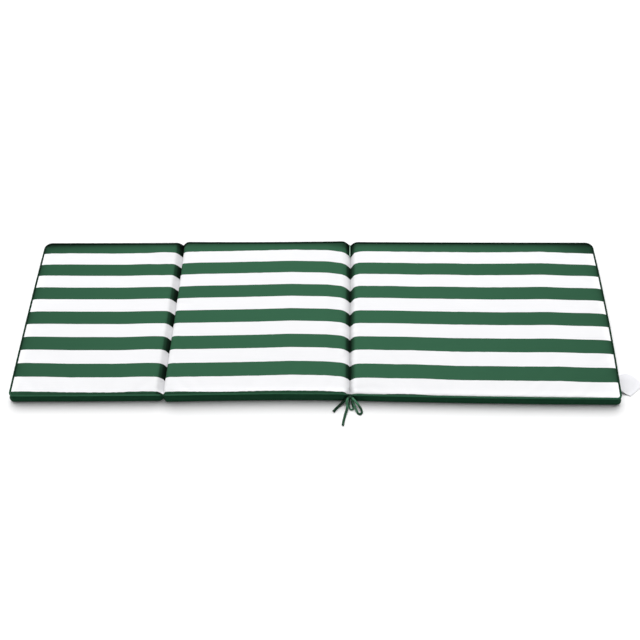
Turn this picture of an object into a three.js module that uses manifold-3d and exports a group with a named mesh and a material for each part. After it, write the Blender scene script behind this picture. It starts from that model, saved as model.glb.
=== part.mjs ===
// A sun lounger cushion: one long pad sewn across by two channels into three sections that fold.
// A piping cord runs round its top edge. Ties sit at both ends of the second channel, and a bare
// tape label is sewn in at the right end.
// Units are millimetres. +Z is up, +X runs along the length and +Y towards the back edge.
// The origin lies on the flat underside, midway along the nominal length and width.

import * as THREE from "three";
import { mergeVertices } from "three/addons/utils/BufferGeometryUtils.js";
import Module from "manifold-3d";

// Driving dimensions
const HALF_WIDTH = 300;
const FRONT_CORNER_R = 12;
const BACK_CORNER_R = 22;
const PIPING_R = 3;
const TIE_R = 3;
const BACK_TIE_R = 2.8;
const CLEARANCE = 0.35;

// The lines across the cushion, from the left end to the right end: where each meets the back
// and the front seam, and how far it bows to the right at its middle.
const CROSS_LINES = [
  { xBack: -938.5, yBack: 294, xFront: -949.3, yFront: -307.3, bow: -2 },
  { xBack: -466.5, yBack: 297.3, xFront: -478, yFront: -304.5, bow: 2 },
  { xBack: 113.5, yBack: 302.5, xFront: 106.5, yFront: -298.3, bow: 0 },
  { xBack: 941.5, yBack: 302.8, xFront: 940, yFront: -308.5, bow: 5.8 },
];

// The padded sections between those lines: nominal length, height of the top seam, crown above
// that seam, and how far the back and front edges bow outwards.
const SECTIONS = [
  { length: 472, seam: 42, crown: 13, bowBack: -0.5, bowFront: 0.5 },
  { length: 582, seam: 47, crown: 15, bowBack: -2.5, bowFront: -1.9 },
  { length: 832, seam: 42, crown: 17, bowBack: -1.5, bowFront: 2.6 },
];

// The sewn channels: how deep the groove is, the width of the padding's bank on either side, and
// the notch that the seam pulls up in the underside. At each end of a channel the edge is pinched:
// seam is its height there, draw is how far it draws in, and the dips are how wide it is.
const CHANNELS = [
  {
    depth: 31, leftBank: 46, rightBank: 20, notch: 6,
    back: { seam: 27, draw: 0.5, leftDip: 26, rightDip: 22 },
    front: { seam: 26, draw: 5, leftDip: 30, rightDip: 24 },
  },
  {
    depth: 31, leftBank: 48, rightBank: 22, notch: 6,
    back: { seam: 23, draw: 4, leftDip: 28, rightDip: 25 },
    front: { seam: 22, draw: 10, leftDip: 34, rightDip: 30 },
  },
];

// Shape of the padding
const EDGE_ROLL = 30; // width of the roll next to a seam
const ROLL_SHARE = 0.32; // part of the crown that the roll gains
const CROWN_POWER = 2;
const END_SLOPE = 220; // length over which the crown dies away towards an end
const BLEND = 45; // distance from an edge over which a channel reaches its full depth
const UNDER_ROLL = 8; // width of the underside's rounded rim
const UNDER_SEAM = 1.2; // height of the rim's edge
const NOTCH_REACH = 16; // distance over which a channel's notch in the underside dies away

// Grid lines of the padded body
const END_STEPS = [3, 8, 14, 20, 34, 62, 110];
const CHANNEL_STEPS = [3, 7, 12, 19, 28, 40, 56, 84];
const EDGE_STEPS = [3, 8, 14, 20, 34, 56, 95, 150, 220];
const MIDDLE_CELL = 85;

// Levels of the boxing from the bottom seam to the top seam. An inset is measured inwards from
// the piping's centre line. A share is a height between the bottom seam and the lip, and a drop
// is a distance below the top seam.
const LEVELS = [
  { inset: 1.5, share: 0 },
  { inset: -1.8, share: 0.25 },
  { inset: -2.2, share: 0.62 },
  { inset: -0.8, drop: 4.6 },
  { inset: 3.5, drop: 4.3 },
  { inset: 3.9, drop: 0 },
];
const LIP_LEVEL = 3;
const PIPING_SIDES = 8;

// The ties of the bow, each a list of points that its centre line passes through. All start in
// the knot, and both loops end there.
const KNOT = { x: 108, y: -297.7, z: 23.5, rx: 6.5, ry: 5, rz: 5.8, wrap: 1.8 };
const BOW = {
  tie_tail_left: [
    [104, -296.5, 22.2], [98, -300.5, 20.6], [91.5, -304.5, 17.5], [85, -308, 13],
    [77, -313.5, 7.5], [66.5, -323.5, 4.2], [55, -337, 3.3],
  ],
  tie_tail_front: [
    [106, -297, 26.3], [101, -302, 28.6], [97.5, -308.5, 26.5], [96.5, -313.5, 21.5],
    [97.5, -319, 15.5], [98, -324.5, 10.5], [96, -333, 6.5], [92.5, -345, 4],
    [87.5, -365, 3.3], [84, -384.5, 3.3],
  ],
  tie_loop_right: [
    [110.5, -298, 27], [114.3, -304, 30], [121.5, -311, 26.5], [129.5, -318, 19.5],
    [136.5, -325, 12.5], [142, -333, 7], [142.8, -340.5, 3.6], [137.5, -345, 3.3],
    [131.5, -342, 3.3], [127, -334, 5.5], [123, -327.5, 10], [119.5, -321, 15],
    [116, -314, 19.5], [113, -308, 23], [110, -299, 22.7],
  ],
  tie_loop_middle: [
    [105, -299.5, 17.6], [104.7, -304.5, 14.8], [104.2, -311.5, 10.5], [104.4, -319.5, 6],
    [107, -326.5, 3.5], [112, -329.8, 3.3], [115.8, -326.5, 3.3], [115.4, -319.5, 4],
    [113.7, -312.5, 7.5], [112, -306, 11.7], [111.3, -300.5, 16],
  ],
};
const BACK_TIE = [
  [111.2, 302.5, 11], [111.2, 305.5, 15], [111.2, 306.5, 22], [111.2, 304, 28.9],
  [111.1, 298.5, 31.1], [111, 291.5, 30], [110.9, 280, 28.5], [110.8, 267, 28.5], [110.7, 254, 29],
];
const TIE_STEP = 6; // spacing of the rings along a tie
const TIE_SIDES = 8;
const KNOT_CORE_CELLS = [12, 8];
const KNOT_WRAP_CELLS = [8, 14];

// The label: its sewn edge, the far corners, the bend in its back side and the sag of its front side.
const LABEL = {
  seamFront: [944.2, -263, 26],
  seamBack: [945.8, -222, 26],
  cornerFront: [984.5, -277.5, 5],
  cornerBack: [1030, -237.5, 4],
  bendBack: [990, -202, 12],
  sag: 5,
  thickness: 1.2,
  alongCells: 8,
  acrossCells: 4,
};

// Colours as the cloth shows them
const GREEN = 0x39654d;
const DARK_GREEN = 0x14402a;
const TAPE_WHITE = 0xf2f2f4;
const CLOTH_ROUGHNESS = 0.9;
const CORD_ROUGHNESS = 0.85;
const TAPE_ROUGHNESS = 0.8;

const WELD = 1e-3; // points closer than this are one point

const wasm = await Module();
wasm.setup();

const { lerp, clamp, smoothstep } = THREE.MathUtils;

// 0 to 1 along a quarter of an ellipse, which starts upright and ends level.
function roundRise(d, reach) {
  const left = 1 - clamp(d / reach, 0, 1);
  return Math.sqrt(1 - left * left);
}

// 0 to 1 along half a cosine wave, level at both ends.
function softRise(d, reach) {
  return 0.5 - 0.5 * Math.cos(Math.PI * clamp(d / reach, 0, 1));
}

// The share of the crown reached at a distance from an edge, over a given run.
function crownShare(d, run) {
  const left = 1 - clamp(d / run, 0, 1);
  const broad = 1 - left ** CROWN_POWER;
  return ROLL_SHARE * roundRise(d, EDGE_ROLL) + (1 - ROLL_SHARE) * broad;
}

// The channel nearest to a place in a section, and how that place lies from it.
function nearChannel({ section, along }) {
  const { length } = SECTIONS[section];
  const onRight = along > length / 2;
  const channel = CHANNELS[onRight ? section : section - 1];
  const distance = onRight ? length - along : along;
  const bank = channel && (onRight ? channel.leftBank : channel.rightBank);
  return { channel, onRight, distance, bank };
}

// How far the pinch at the back or front end of a channel is felt at a place: its height, how far
// it draws in, its width, and the share of it, from 0 away from the channel to 1 on it.
function pinchAt(place, side) {
  const { channel, onRight, distance } = nearChannel(place);
  if (!channel) return { draw: 0, share: 0 };
  const { seam, draw, leftDip, rightDip } = channel[side];
  const dip = onRight ? leftDip : rightDip;
  return { seam, draw, dip, distance, share: 1 - softRise(distance, dip) };
}

const sideOf = (across) => (across > 0 ? "back" : "front");

// The distance from the free end of the first or last section.
function fromEnd({ section, along }) {
  if (section === 0) return along;
  if (section === SECTIONS.length - 1) return SECTIONS[section].length - along;
  return Infinity;
}

// Grid columns: each is a place along the length, as a section and a distance from its left side.
function gridColumns() {
  const columns = [];
  SECTIONS.forEach(({ length }, section) => {
    const first = section === 0 ? END_STEPS : CHANNEL_STEPS;
    const last = section === SECTIONS.length - 1 ? END_STEPS : CHANNEL_STEPS;
    const from = first.at(-1);
    const to = length - last.at(-1);
    const cells = Math.round((to - from) / MIDDLE_CELL);
    const middle = Array.from({ length: cells - 1 }, (_, i) => lerp(from, to, (i + 1) / cells));
    const ending = last.map((d) => length - d).reverse();
    [0, ...first, ...middle, ...ending].forEach((along) => columns.push({ section, along }));
  });
  const last = SECTIONS.length - 1;
  columns.push({ section: last, along: SECTIONS[last].length });
  return columns;
}

// Grid rows: places across the width, from the front edge to the back edge.
function gridRows() {
  const front = [0, ...EDGE_STEPS].map((d) => d - HALF_WIDTH);
  return [...front, 0, ...front.map((y) => -y).reverse()];
}

// The point in plan for a place on the grid, on the outline drawn in by inset.
function planPoint(place, across, inset) {
  const { section } = place;
  const { length, bowBack, bowFront } = SECTIONS[section];
  const lastSection = SECTIONS.length - 1;
  const leftInset = section === 0 ? inset : 0;
  const rightInset = section === lastSection ? inset : 0;
  let along = lerp(leftInset, length - rightInset, place.along / length);
  let y = across * (1 - inset / HALF_WIDTH);

  // Round the four corners: a square corner's grid is drawn in onto circles.
  const corner = across > 0 ? BACK_CORNER_R : FRONT_CORNER_R;
  const endward = corner - fromEnd({ section, along });
  const edgeward = Math.abs(y) - (HALF_WIDTH - corner);
  if (endward > 0 && edgeward > 0) {
    const shrink = Math.max(endward, edgeward) / Math.hypot(endward, edgeward);
    along += (section === 0 ? 1 : -1) * endward * (1 - shrink);
    y -= Math.sign(y) * edgeward * (1 - shrink);
  }

  const u = along / length;
  const v = (y / HALF_WIDTH + 1) / 2;
  const [left, right] = [CROSS_LINES[section], CROSS_LINES[section + 1]];
  const lineX = ({ xBack, xFront, bow }) => lerp(xFront, xBack, v) + bow * 4 * v * (1 - v);
  const back = pinchAt({ section, along }, "back");
  const front = pinchAt({ section, along }, "front");
  const bowed = 4 * u * (1 - u);
  const yBack = lerp(left.yBack, right.yBack, u) + bowed * bowBack - back.draw * back.share;
  const yFront = lerp(left.yFront, right.yFront, u) - bowed * bowFront + front.draw * front.share;
  return new THREE.Vector2(lerp(lineX(left), lineX(right), u), lerp(yFront, yBack, v));
}

// Height of the top seam, where the panel meets the boxing.
function seamHeight(place, across) {
  const { seam } = SECTIONS[place.section];
  const pinch = pinchAt(place, sideOf(across));
  return pinch.share > 0 ? lerp(seam, pinch.seam, pinch.share) : seam;
}

// How much longer a sloping seam is than its run, so that clearances hold on the slope.
function seamStretch(place, across) {
  const pinch = pinchAt(place, sideOf(across));
  if (pinch.share === 0) return 1;
  const fall = SECTIONS[place.section].seam - pinch.seam;
  const turn = (Math.PI * pinch.distance) / pinch.dip;
  return Math.hypot(1, (fall * Math.PI * Math.sin(turn)) / (2 * pinch.dip));
}

// Height of the top panel.
function topHeight(place, across) {
  const { seam, crown } = SECTIONS[place.section];
  const inward = HALF_WIDTH - Math.abs(across);
  const share = crownShare(inward, HALF_WIDTH) * crownShare(fromEnd(place), END_SLOPE);
  const full = seam + crown * share;
  const { channel, distance, bank } = nearChannel(place);
  if (!channel) return full;
  const { seam: pinched, dip } = pinchAt(place, sideOf(across));
  const deep = smoothstep(inward, 0, BLEND);
  const floor = lerp(pinched, full - channel.depth, deep);
  const reach = lerp(dip, bank, deep);
  const rise = lerp(softRise(distance, reach), roundRise(distance, reach), deep);
  return lerp(floor, full, rise);
}

// Height of the underside: flat, but for its rounded rim and the notches under the channels.
function underHeight(place, across) {
  const inward = Math.min(HALF_WIDTH - Math.abs(across), fromEnd(place));
  const rim = UNDER_SEAM * (1 - clamp(inward / UNDER_ROLL, 0, 1)) ** 2;
  const { channel, distance } = nearChannel(place);
  const notch = channel ? channel.notch * (1 - softRise(distance, NOTCH_REACH)) : 0;
  return rim + notch;
}

// A point of the body: on the underside, on the boxing, or on the top panel.
function bodyPoint(place, across, level) {
  const { inset, share, drop } = LEVELS[level];
  const plan = planPoint(place, across, inset);
  const bottom = underHeight(place, across);
  if (level === 0) return [plan.x, plan.y, bottom];
  if (level === LEVELS.length - 1) return [plan.x, plan.y, topHeight(place, across)];
  const top = seamHeight(place, across);
  const stretch = seamStretch(place, across);
  const lip = top - LEVELS[LIP_LEVEL].drop * stretch;
  const z = share === undefined ? top - drop * stretch : lerp(bottom, lip, share);
  return [plan.x, plan.y, z];
}

// The padded body, as a box whose grid points are moved to the cushion's shape.
function bodyGeometry() {
  const columns = gridColumns();
  const rows = gridRows();
  const cells = [columns.length - 1, rows.length - 1, LEVELS.length - 1];
  const geometry = new THREE.BoxGeometry(1, 1, 1, ...cells);
  const position = geometry.getAttribute("position");
  const index = (value, count) => Math.round((value + 0.5) * count);
  for (let i = 0; i < position.count; i += 1) {
    const place = columns[index(position.getX(i), cells[0])];
    const across = rows[index(position.getY(i), cells[1])];
    const level = index(position.getZ(i), cells[2]);
    position.setXYZ(i, ...bodyPoint(place, across, level));
  }
  return geometry;
}

// The closed line of the top seam, anticlockwise from the front left corner.
function seamLoop() {
  const columns = gridColumns();
  const rows = gridRows();
  const at = (place, across) => {
    const plan = planPoint(place, across, 0);
    return new THREE.Vector3(plan.x, plan.y, seamHeight(place, across));
  };
  const front = columns.slice(0, -1).map((place) => at(place, -HALF_WIDTH));
  const right = rows.slice(0, -1).map((across) => at(columns.at(-1), across));
  const back = columns.slice(1).reverse().map((place) => at(place, HALF_WIDTH));
  const left = rows.slice(1).reverse().map((across) => at(columns[0], across));
  return [...front, ...right, ...back, ...left];
}

// The piping cord, as a torus whose rings are moved onto the seam.
function pipingGeometry() {
  const loop = seamLoop();
  const count = loop.length;
  const geometry = new THREE.TorusGeometry(1, 0.1, PIPING_SIDES, count);
  const position = geometry.getAttribute("position");
  const up = new THREE.Vector3(0, 0, 1);
  for (let side = 0; side <= PIPING_SIDES; side += 1) {
    const turn = (side / PIPING_SIDES) * Math.PI * 2;
    for (let i = 0; i <= count; i += 1) {
      const centre = loop[i % count];
      const before = loop[(i + count - 1) % count];
      const after = loop[(i + 1) % count];
      const ahead = after.clone().sub(before).normalize();
      const outward = ahead.clone().cross(up).normalize();
      const upward = outward.clone().cross(ahead);
      const point = centre
        .clone()
        .addScaledVector(outward, PIPING_R * Math.cos(turn))
        .addScaledVector(upward, PIPING_R * Math.sin(turn));
      position.setXYZ(side * (count + 1) + i, point.x, point.y, point.z);
    }
  }
  return geometry;
}

// A tie: a round section drawn along a smooth line. Where it stands for the room that a tie
// takes, grow widens it and runs it on at both ends.
function tieGeometry(route, radius, grow = 0) {
  const points = route.map((p) => new THREE.Vector3(...p));
  const runOn = (end, next) => end.addScaledVector(end.clone().sub(next).normalize(), grow);
  runOn(points[0], points[1]);
  runOn(points.at(-1), points.at(-2));
  const curve = new THREE.CatmullRomCurve3(points);
  const section = new THREE.Shape();
  for (let i = 0; i < TIE_SIDES; i += 1) {
    const turn = (i / TIE_SIDES) * Math.PI * 2;
    const corner = [(radius + grow) * Math.cos(turn), (radius + grow) * Math.sin(turn)];
    if (i === 0) section.moveTo(...corner);
    else section.lineTo(...corner);
  }
  const steps = Math.ceil(curve.getLength() / TIE_STEP);
  return new THREE.ExtrudeGeometry(section, { steps, extrudePath: curve, bevelEnabled: false });
}

// The label: a thin plate between its sewn edge and its free edge, whose back side bends.
function labelGeometry() {
  const { alongCells, acrossCells, thickness, sag } = LABEL;
  const geometry = new THREE.BoxGeometry(1, 1, 1, alongCells, acrossCells, 1);
  const position = geometry.getAttribute("position");
  const [rootFront, rootBack, farFront, farBack, bend] = [
    LABEL.seamFront, LABEL.seamBack, LABEL.cornerFront, LABEL.cornerBack, LABEL.bendBack,
  ].map((p) => new THREE.Vector3(...p));
  // Pull the bend's control point out, so that the curve itself passes through the bend.
  const pull = bend.clone().multiplyScalar(2);
  pull.addScaledVector(rootBack, -0.5).addScaledVector(farBack, -0.5);
  const backSide = new THREE.QuadraticBezierCurve3(rootBack, pull, farBack);
  const hang = rootFront.clone().lerp(farFront, 0.5).sub(new THREE.Vector3(0, 0, sag));
  const frontSide = new THREE.QuadraticBezierCurve3(rootFront, hang, farFront);
  for (let i = 0; i < position.count; i += 1) {
    const u = position.getX(i) + 0.5;
    const v = position.getY(i) + 0.5;
    const point = frontSide.getPoint(u).lerp(backSide.getPoint(u), v);
    const lift = position.getZ(i) * thickness;
    position.setXYZ(i, point.x, point.y, point.z + lift);
  }
  return geometry;
}

// Solids, cut and joined
function toSolid(geometry) {
  const bare = geometry.index ? geometry.clone() : mergeVertices(geometry);
  bare.deleteAttribute("normal");
  bare.deleteAttribute("uv");
  const merged = mergeVertices(bare, WELD);
  return new wasm.Manifold(
    new wasm.Mesh({
      numProp: 3,
      vertProperties: new Float32Array(merged.getAttribute("position").array),
      triVerts: new Uint32Array(merged.index.array),
    }),
  );
}

function toGeometry(solid) {
  const { vertProperties, triVerts } = solid.getMesh();
  const geometry = new THREE.BufferGeometry();
  geometry.setAttribute("position", new THREE.Float32BufferAttribute(vertProperties, 3));
  geometry.setIndex(new THREE.Uint32BufferAttribute(triVerts, 1));
  geometry.computeVertexNormals();
  return geometry;
}

// The knot: an oval core with one turn of cord wrapped over it.
function knotSolid(grow) {
  const { x, y, z, rx, ry, rz, wrap } = KNOT;
  const core = new THREE.SphereGeometry(1, ...KNOT_CORE_CELLS);
  core.scale(rx + grow, ry + grow, rz + grow);
  const turn = new THREE.TorusGeometry(rz - wrap / 2, wrap + grow, ...KNOT_WRAP_CELLS);
  turn.scale(1, ry / rz, 1).rotateY(Math.PI / 2);
  core.translate(x, y, z);
  turn.translate(x, y, z);
  return toSolid(core).add(toSolid(turn));
}

function mesh(name, solid, color, roughness) {
  const material = new THREE.MeshStandardMaterial({ color, roughness, metalness: 0 });
  const made = new THREE.Mesh(toGeometry(solid), material);
  made.name = name;
  return made;
}

// The knot and the back tie press into the padding, so the body is cut back by their clearance.
function cushion() {
  const solid = toSolid(bodyGeometry())
    .subtract(knotSolid(CLEARANCE))
    .subtract(toSolid(tieGeometry(BACK_TIE, BACK_TIE_R, CLEARANCE)));
  return mesh("cushion", solid, GREEN, CLOTH_ROUGHNESS);
}

// Each tie of the bow starts at the knot's surface.
function bow() {
  const room = knotSolid(CLEARANCE);
  const group = new THREE.Group();
  group.add(mesh("tie_knot", knotSolid(0), GREEN, CORD_ROUGHNESS));
  for (const [name, route] of Object.entries(BOW)) {
    const strand = toSolid(tieGeometry(route, TIE_R)).subtract(room);
    group.add(mesh(name, strand, GREEN, CORD_ROUGHNESS));
  }
  return group;
}

const loungerCushion = new THREE.Group();
loungerCushion.add(
  cushion(),
  mesh("piping", toSolid(pipingGeometry()), DARK_GREEN, CORD_ROUGHNESS),
  bow(),
  mesh("tie_back", toSolid(tieGeometry(BACK_TIE, BACK_TIE_R)), GREEN, CORD_ROUGHNESS),
  mesh("care_label", toSolid(labelGeometry()), TAPE_WHITE, TAPE_ROUGHNESS),
);

export default loungerCushion;
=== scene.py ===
"""A sun lounger cushion in striped canvas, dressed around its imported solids."""

import math

import bpy
import numpy as np
from mathutils import Matrix, Vector


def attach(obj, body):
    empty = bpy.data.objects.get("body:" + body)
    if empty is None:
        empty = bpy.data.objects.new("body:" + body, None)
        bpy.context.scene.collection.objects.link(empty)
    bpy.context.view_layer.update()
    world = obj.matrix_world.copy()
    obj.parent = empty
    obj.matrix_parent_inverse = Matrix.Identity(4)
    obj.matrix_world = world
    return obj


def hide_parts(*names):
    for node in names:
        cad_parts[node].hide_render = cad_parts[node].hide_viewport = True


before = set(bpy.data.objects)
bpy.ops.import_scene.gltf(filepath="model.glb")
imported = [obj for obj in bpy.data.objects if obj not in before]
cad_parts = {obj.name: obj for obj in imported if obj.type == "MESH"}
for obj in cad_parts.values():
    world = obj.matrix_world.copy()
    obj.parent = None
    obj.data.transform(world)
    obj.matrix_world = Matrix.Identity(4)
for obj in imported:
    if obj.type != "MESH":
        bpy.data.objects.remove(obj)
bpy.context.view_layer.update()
MM = 0.001


# Camera
IMAGE_SIDE = 640
FOCAL_PIXELS = 940.0
SENSOR = 36.0
PITCH, YAW, ROLL = (math.radians(a) for a in (55.56, 1.18, -0.77))
CAMERA_DISTANCE = 3.0652
CAMERA_TARGET = Vector((0.0108, -0.018, 0.04))
CLIP_START, CLIP_END = 0.05, 200


def make_camera():
    back = Vector(
        (math.sin(YAW) * math.cos(PITCH), -math.cos(YAW) * math.cos(PITCH), math.sin(PITCH))
    )
    right = Vector((math.cos(YAW), math.sin(YAW), 0))
    up = back.cross(right)
    rolled_right = right * math.cos(ROLL) + up * math.sin(ROLL)
    rolled_up = up * math.cos(ROLL) - right * math.sin(ROLL)
    data = bpy.data.cameras.new("camera")
    data.sensor_width = SENSOR
    data.lens = SENSOR * FOCAL_PIXELS / IMAGE_SIDE
    data.clip_start, data.clip_end = CLIP_START, CLIP_END
    camera = bpy.data.objects.new("camera", data)
    bpy.context.scene.collection.objects.link(camera)
    turn = Matrix((rolled_right, rolled_up, back)).transposed().to_4x4()
    camera.matrix_world = Matrix.Translation(CAMERA_TARGET + back * CAMERA_DISTANCE) @ turn
    bpy.context.scene.camera = camera


make_camera()


# Node helpers
class Nodes:
    """A short way to write a node tree."""

    def __init__(self, tree):
        self.tree = tree

    def add(self, kind, inputs=None, **settings):
        node = self.tree.nodes.new(kind)
        for name, value in settings.items():
            setattr(node, name, value)
        for name, value in (inputs or {}).items():
            self.put(node.inputs[name], value)
        return node

    def put(self, socket, value):
        if isinstance(value, bpy.types.NodeSocket):
            self.tree.links.new(value, socket)
        else:
            socket.default_value = value

    def math(self, operation, *values):
        node = self.add("ShaderNodeMath", dict(enumerate(values)), operation=operation)
        return node.outputs[0]

    def fall(self, value, middle, reach):
        """From 1 to 0 round a middle value, over its reach on both sides."""
        inputs = {"Value": value, "From Min": middle - reach, "From Max": middle + reach}
        inputs.update({"To Min": 1.0, "To Max": 0.0})
        node = self.add("ShaderNodeMapRange", inputs, interpolation_type="SMOOTHSTEP")
        return node.outputs[0]

    def mix(self, factor, a, b, blend="MIX"):
        colours = {0: factor, 6: a, 7: b}
        return self.add("ShaderNodeMix", colours, data_type="RGBA", blend_type=blend).outputs[2]

    def attribute(self, name):
        return self.add("ShaderNodeAttribute", attribute_name=name).outputs["Fac"]

    def darkened(self, base, share):
        """A colour times a number."""
        grey = self.add("ShaderNodeCombineXYZ", {0: share, 1: share, 2: share}).outputs[0]
        return self.mix(1.0, base, grey, "MULTIPLY")

    def noise(self, vector, detail):
        inputs = {"Vector": vector, "Scale": 1.0, "Detail": detail}
        return self.add("ShaderNodeTexNoise", inputs).outputs[0]

    def stretched(self, vector, factors, turn=0.0):
        inputs = {"Vector": vector, "Scale": factors, "Rotation": (0, 0, turn)}
        return self.add("ShaderNodeMapping", inputs).outputs[0]


def colour(red, green, blue):
    """An sRGB colour of 0 to 255 as the linear colour that a socket takes."""

    def linear(v):
        v /= 255
        return v / 12.92 if v <= 0.04045 else ((v + 0.055) / 1.055) ** 2.4

    return (linear(red), linear(green), linear(blue), 1.0)


def set_inputs(node, values):
    for name, value in values.items():
        node.inputs[name].default_value = value


def new_material(name, roughness, specular, sheen=0.0):
    material = bpy.data.materials.new(name)
    material.use_nodes = True
    shader = material.node_tree.nodes["Principled BSDF"]
    surface = {"Roughness": roughness, "Sheen Weight": sheen, "Specular IOR Level": specular}
    set_inputs(shader, surface)
    return material, Nodes(material.node_tree), shader


CLOTH_GREEN = colour(50, 92, 68)
CLOTH_WHITE = colour(227, 227, 229)
# The boxing's green: the cloth's green darkened as painted shade on its upright walls
BOXING_SHADED_GREEN = colour(22, 66, 43)
PIPING_GREEN = colour(43, 86, 62)
TIE_GREEN = colour(66, 124, 90)
# Pale colour for wear and a painted highlight on the ties
TIE_WORN_AND_HIGHLIT = colour(172, 190, 180)
THREAD_GREEN = colour(46, 84, 62)
TAPE_WHITE = colour(228, 228, 232)
WHITE_SHARE = 0.502
STRIPE_SOFTNESS, RAGGED_EDGE = 0.004, 0.006
THREAD_PITCH = 1.1 * MM
# How finely the uneven threads, the clouds of colour and the stripes' ragged edge repeat, per metre
SLUB_STRETCH, CLOUD_STRETCH, RAGGED_STRETCH = (9, 700, 1), (7, 12, 1), (500, 500, 1)
COLOUR_VARY, SLUB_RELIEF, CLOTH_RELIEF, CANVAS_BUMP = 0.05, 0.35, 0.2 * MM, 0.35
STRIPED_GLOSS, PLAIN_GLOSS = 0.06, 0.08
BIAS = math.radians(45)


def weave(nodes, coordinates, pitch, turn=0.0):
    """Height of a plain weave: threads along both axes that pass over each other in turn."""
    placed = nodes.stretched(coordinates, (1 / pitch,) * 3, turn)
    split = nodes.add("ShaderNodeSeparateXYZ", {"Vector": placed})
    along = nodes.math("SINE", nodes.math("MULTIPLY", split.outputs[0], math.pi))
    across = nodes.math("SINE", nodes.math("MULTIPLY", split.outputs[1], math.pi))
    product = nodes.math("MULTIPLY", along, across)
    return nodes.math("MULTIPLY_ADD", product, 0.5, 0.5)


def cloth_finish(nodes, shader, base, coordinates, bump, pitch=THREAD_PITCH, turn=0.0):
    """Colour variation along the threads, and the weave's relief."""
    slub = nodes.noise(nodes.stretched(coordinates, SLUB_STRETCH), 1.0)
    cloud = nodes.noise(nodes.stretched(coordinates, CLOUD_STRETCH), 3.0)
    height = weave(nodes, coordinates, pitch, turn)
    shade = None
    for pattern in (slub, cloud, height):
        own = nodes.math("MULTIPLY_ADD", pattern, COLOUR_VARY, 1 - COLOUR_VARY / 2)
        shade = own if shade is None else nodes.math("MULTIPLY", shade, own)
    nodes.put(shader.inputs["Base Color"], nodes.darkened(base, shade))
    relief = nodes.math("MULTIPLY_ADD", slub, SLUB_RELIEF, height)
    settings = {"Strength": bump, "Distance": CLOTH_RELIEF, "Height": relief}
    nodes.put(shader.inputs["Normal"], nodes.add("ShaderNodeBump", settings).outputs[0])


def striped_material():
    material, nodes, shader = new_material("striped_canvas", 0.9, STRIPED_GLOSS)
    coordinates = nodes.add("ShaderNodeUVMap", uv_map="cloth").outputs[0]
    place = nodes.attribute("stripe")
    ragged = nodes.noise(nodes.stretched(coordinates, RAGGED_STRETCH), 1.0)
    ragged = nodes.math("MULTIPLY_ADD", ragged, RAGGED_EDGE, -RAGGED_EDGE / 2)
    turned = nodes.math("SUBTRACT", nodes.math("ADD", place, ragged), WHITE_SHARE / 2 - 0.5)
    off_centre = nodes.math("ABSOLUTE", nodes.math("SUBTRACT", nodes.math("FRACT", turned), 0.5))
    mask = nodes.fall(off_centre, WHITE_SHARE / 2, STRIPE_SOFTNESS)
    # Painted shade on the green and painted light on the white, from the layers shade and lift
    green = nodes.darkened(CLOTH_GREEN, nodes.attribute("shade"))
    white = nodes.darkened(CLOTH_WHITE, nodes.attribute("lift"))
    cloth_finish(nodes, shader, nodes.mix(mask, green, white), coordinates, CANVAS_BUMP)
    return material


def plain_material(
    name, base, roughness, pitch=THREAD_PITCH, turn=0.0, bump=CANVAS_BUMP, sheen=0.0,
    shaded=False, worn_and_highlit=None,
):
    material, nodes, shader = new_material(name, roughness, PLAIN_GLOSS, sheen)
    coordinates = nodes.add("ShaderNodeUVMap", uv_map="cloth").outputs[0]
    # The layer shade paints shade and light into the colour
    if shaded:
        fill = nodes.darkened(base, nodes.attribute("shade"))
    else:
        fill = nodes.add("ShaderNodeRGB").outputs[0]
        fill.default_value = base
    # The pale layer is wear together with a painted highlight
    if worn_and_highlit is not None:
        fill = nodes.mix(nodes.attribute("worn_and_highlit"), fill, worn_and_highlit)
    cloth_finish(nodes, shader, fill, coordinates, bump, pitch, turn)
    return material


STRIPED = striped_material()
# The boxing's cloth, darkened as painted shade
SHADED_GREEN = plain_material("shaded_green_canvas", BOXING_SHADED_GREEN, 0.9)
PIPING = plain_material("piping_canvas", PIPING_GREEN, 0.85, turn=BIAS, shaded=True)
TIE = plain_material(
    "tie_canvas", TIE_GREEN, 0.75, pitch=0.9 * MM, turn=BIAS, shaded=True, worn_and_highlit=TIE_WORN_AND_HIGHLIT
)
THREAD = plain_material("sewing_thread", THREAD_GREEN, 0.6, pitch=0.4 * MM, turn=math.radians(30))
TAPE = plain_material("label_tape", TAPE_WHITE, 0.55, pitch=0.5 * MM, bump=0.2, sheen=0.05)
# Light passes through the label's thin tape
set_inputs(
    TAPE.node_tree.nodes["Principled BSDF"],
    {"Subsurface Weight": 0.7, "Subsurface Radius": (1, 1, 1), "Subsurface Scale": 1.5 * MM},
)


# Number helpers
def mixed(a, b, t):
    return a + (b - a) * t


def ratio(d, reach):
    return np.clip(d / reach, 0, 1)


def bell(d, reach):
    """1 at no distance, falling off softly over the reach."""
    return np.exp(-((d / reach) ** 2))


def smooth_step(x, low, high):
    t = ratio(x - low, high - low)
    return t * t * (3 - 2 * t)


def read(table, at):
    """The value at a place, from a table of places and values."""
    return np.interp(at, *np.array(table).T)


def turns(count):
    """Angles evenly round a circle."""
    return np.arange(count) / count * 2 * math.pi


def distances(points):
    """How far along a line each of its points lies."""
    steps = np.linalg.norm(np.diff(points, axis=0), axis=1)
    return np.concatenate([[0], np.cumsum(steps)])


def along_line(points, at):
    """Points at the given distances along a line."""
    s = distances(points)
    return np.stack([np.interp(at, s, points[:, k]) for k in range(3)], -1)


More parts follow.
